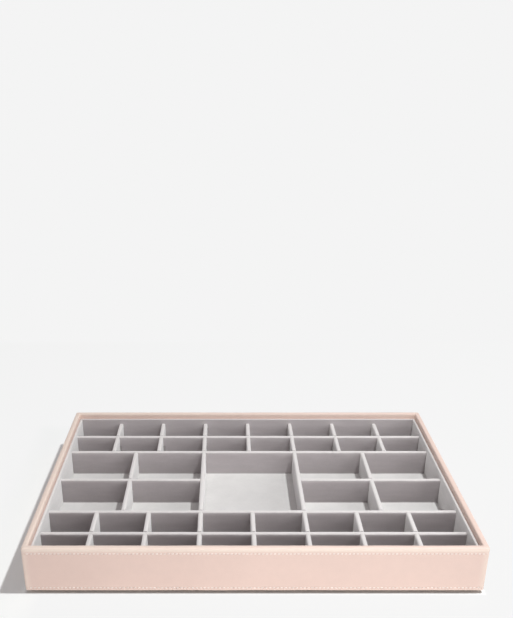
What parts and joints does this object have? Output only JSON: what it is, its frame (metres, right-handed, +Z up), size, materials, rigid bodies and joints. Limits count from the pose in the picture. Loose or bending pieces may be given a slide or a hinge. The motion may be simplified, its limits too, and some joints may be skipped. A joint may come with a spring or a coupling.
{
  "type": "jewelry tray",
  "caption": "Shallow stackable jewelry tray: leatherette-wrapped box with a velvet liner, fixed dividers forming small, wide and one large centre compartment, and a recessed plinth.",
  "frame": {"origin": "centre of the underside, on the surface the tray stands on", "axes": "+X along the length to the right, +Y towards the back, +Z up"},
  "size_m": [0.4412, 0.3052, 0.0519],
  "materials": {
    "leatherette": "satin, fine grain, blush pink",
    "thread": "matt twisted thread, pale pink",
    "velvet": "short pile velvet, pale grey",
    "lining": "thin flocked lining, charcoal",
    "greyboard": "raw greyboard",
    "fibreboard": "raw fibreboard",
    "stained_board": "fibreboard stained charcoal"
  },
  "bodies": {
    "root": {"back_column_divider_1_velvet": "velvet", "back_column_divider_2_velvet": "velvet", "back_column_divider_3_velvet": "velvet", "back_column_divider_4_velvet": "velvet", "back_column_divider_5_velvet": "velvet", "back_column_divider_cores": "greyboard", "back_wall_board": "fibreboard", "base_board": "fibreboard", "floor_board": "greyboard", "floor_velvet": "velvet", "front_column_divider_1_velvet": "velvet", "front_column_divider_2_velvet": "velvet", "front_column_divider_3_velvet": "velvet", "front_column_divider_4_velvet": "velvet", "front_column_divider_5_velvet": "velvet", "front_column_divider_cores": "greyboard", "front_wall_board": "fibreboard", "hem_stitching_back": "thread", "hem_stitching_front": "thread", "hem_stitching_left": "thread", "hem_stitching_right": "thread", "left_wall_board": "fibreboard", "liner_board_back": "greyboard", "liner_board_front": "greyboard", "liner_board_left": "greyboard", "liner_board_right": "greyboard", "liner_velvet_back": "velvet", "liner_velvet_front": "velvet", "liner_velvet_left": "velvet", "liner_velvet_right": "velvet", "long_column_divider_left_core": "greyboard", "long_column_divider_left_velvet": "velvet", "long_column_divider_right_core": "greyboard", "long_column_divider_right_velvet": "velvet", "long_row_divider_1_core": "greyboard", "long_row_divider_1_velvet": "velvet", "long_row_divider_2_core": "greyboard", "long_row_divider_2_velvet": "velvet", "long_row_divider_3_core": "greyboard", "long_row_divider_3_velvet": "velvet", "long_row_divider_4_core": "greyboard", "long_row_divider_4_velvet": "velvet", "middle_column_divider_left_core": "greyboard", "middle_column_divider_left_velvet": "velvet", "middle_column_divider_right_core": "greyboard", "middle_column_divider_right_velvet": "velvet", "outer_wrap": "leatherette", "plinth_board": "stained_board", "right_wall_board": "fibreboard", "rim_stitching_back": "thread", "rim_stitching_front": "thread", "rim_stitching_left": "thread", "rim_stitching_right": "thread", "short_row_divider_left_core": "greyboard", "short_row_divider_left_velvet": "velvet", "short_row_divider_right_core": "greyboard", "short_row_divider_right_velvet": "velvet", "underside_lining": "lining"}
  },
  "joints": []
}
